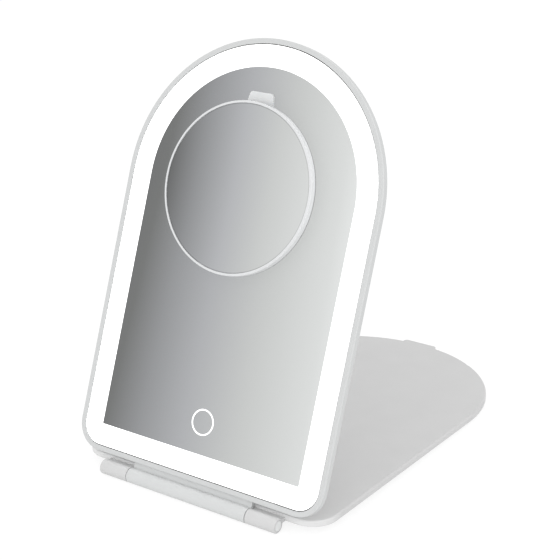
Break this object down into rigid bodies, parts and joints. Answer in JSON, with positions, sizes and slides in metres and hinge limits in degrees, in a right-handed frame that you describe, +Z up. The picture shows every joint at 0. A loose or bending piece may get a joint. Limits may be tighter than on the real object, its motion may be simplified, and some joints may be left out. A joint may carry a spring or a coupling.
{
  "type": "lighted folding vanity mirror",
  "caption": "Arched tabletop vanity mirror with a frosted light band, hinged to an arched cover that folds round behind it as its stand, and a round lift-off magnifier.",
  "frame": {"origin": "on the table, at the middle of the footprint", "axes": "+Z up, +Y from the mirror back along the base, +X to the right seen from the front, along the hinge"},
  "size_m": [0.1522, 0.2412, 0.2214],
  "materials": {
    "base_white": "satin white moulding with a fine grain",
    "plate_steel": "zinc-plated sheet",
    "liner_white": "satin white",
    "foot_rubber": "soft grey rubber",
    "pin_steel": "ground steel",
    "cap_white": "satin white",
    "bezel_white": "satin white moulding",
    "bush_bronze": "plain bronze",
    "diffuser_white": "frosted, lit from behind",
    "seal_black": "thin matt black strip",
    "mirror_main": "silvered flat glass",
    "ring_white": "printed window, lit from behind",
    "adhesive_clear": "thin adhesive sheet",
    "chassis_grey": "moulded plate",
    "strip_white": "flexible circuit, white mask",
    "lamp_yellow": "phosphor-coated lamp",
    "board_green": "solder mask",
    "ribbon_amber": "flexible circuit",
    "chip_black": "moulded package",
    "socket_steel": "drawn steel shell",
    "cell_foil": "laminated foil pouch",
    "tape_black": "double-sided tape",
    "foam_grey": "soft foam",
    "plug_ivory": "moulded plug",
    "lead_red": "insulated lead",
    "cover_white": "satin white moulding with a fine grain",
    "screw_steel": "zinc-plated",
    "magnifier_white": "glossy white moulding",
    "mirror_magnifier": "silvered concave glass",
    "cup_silicone": "milky soft silicone"
  },
  "bodies": {
    "base": {"base_shell": "base_white", "steel_plate": "plate_steel", "base_liner": "liner_white", "rear_feet": "foot_rubber", "hinge_pins": "pin_steel", "hinge_caps": "cap_white"},
    "mirror_panel": {"front_bezel": "bezel_white", "hinge_bushes": "bush_bronze", "light_diffuser": "diffuser_white", "light_seal": "seal_black", "mirror_glass": "mirror_main", "touch_ring": "ring_white", "glass_adhesive": "adhesive_clear", "chassis_plate": "chassis_grey", "lamp_strip": "strip_white", "lamp_chips": "lamp_yellow", "touch_board": "board_green", "touch_ribbon": "ribbon_amber", "main_board": "board_green", "board_chips": "chip_black", "usb_socket": "socket_steel", "battery_cell": "cell_foil", "battery_tape": "tape_black", "battery_foam": "foam_grey", "battery_plug": "plug_ivory", "battery_leads": "lead_red", "rear_cover": "cover_white", "rear_screws": "screw_steel"},
    "magnifier": {"magnifier_housing": "magnifier_white", "magnifier_mirror": "mirror_magnifier", "magnifier_tape": "foam_grey", "suction_cup": "cup_silicone"}
  },
  "joints": [
    {"name": "panel_hinge", "type": "hinge", "parent": "base", "child": "mirror_panel", "pos_m": [0, -0.11665, 0.0039], "axis": [1, 0, 0], "range_deg": [-3, 270]},
    {"name": "magnifier_lift", "type": "slide", "parent": "mirror_panel", "child": "magnifier", "axis": [0, -0.9379, 0.3469], "range_m": [0, 0.015]}
  ]
}
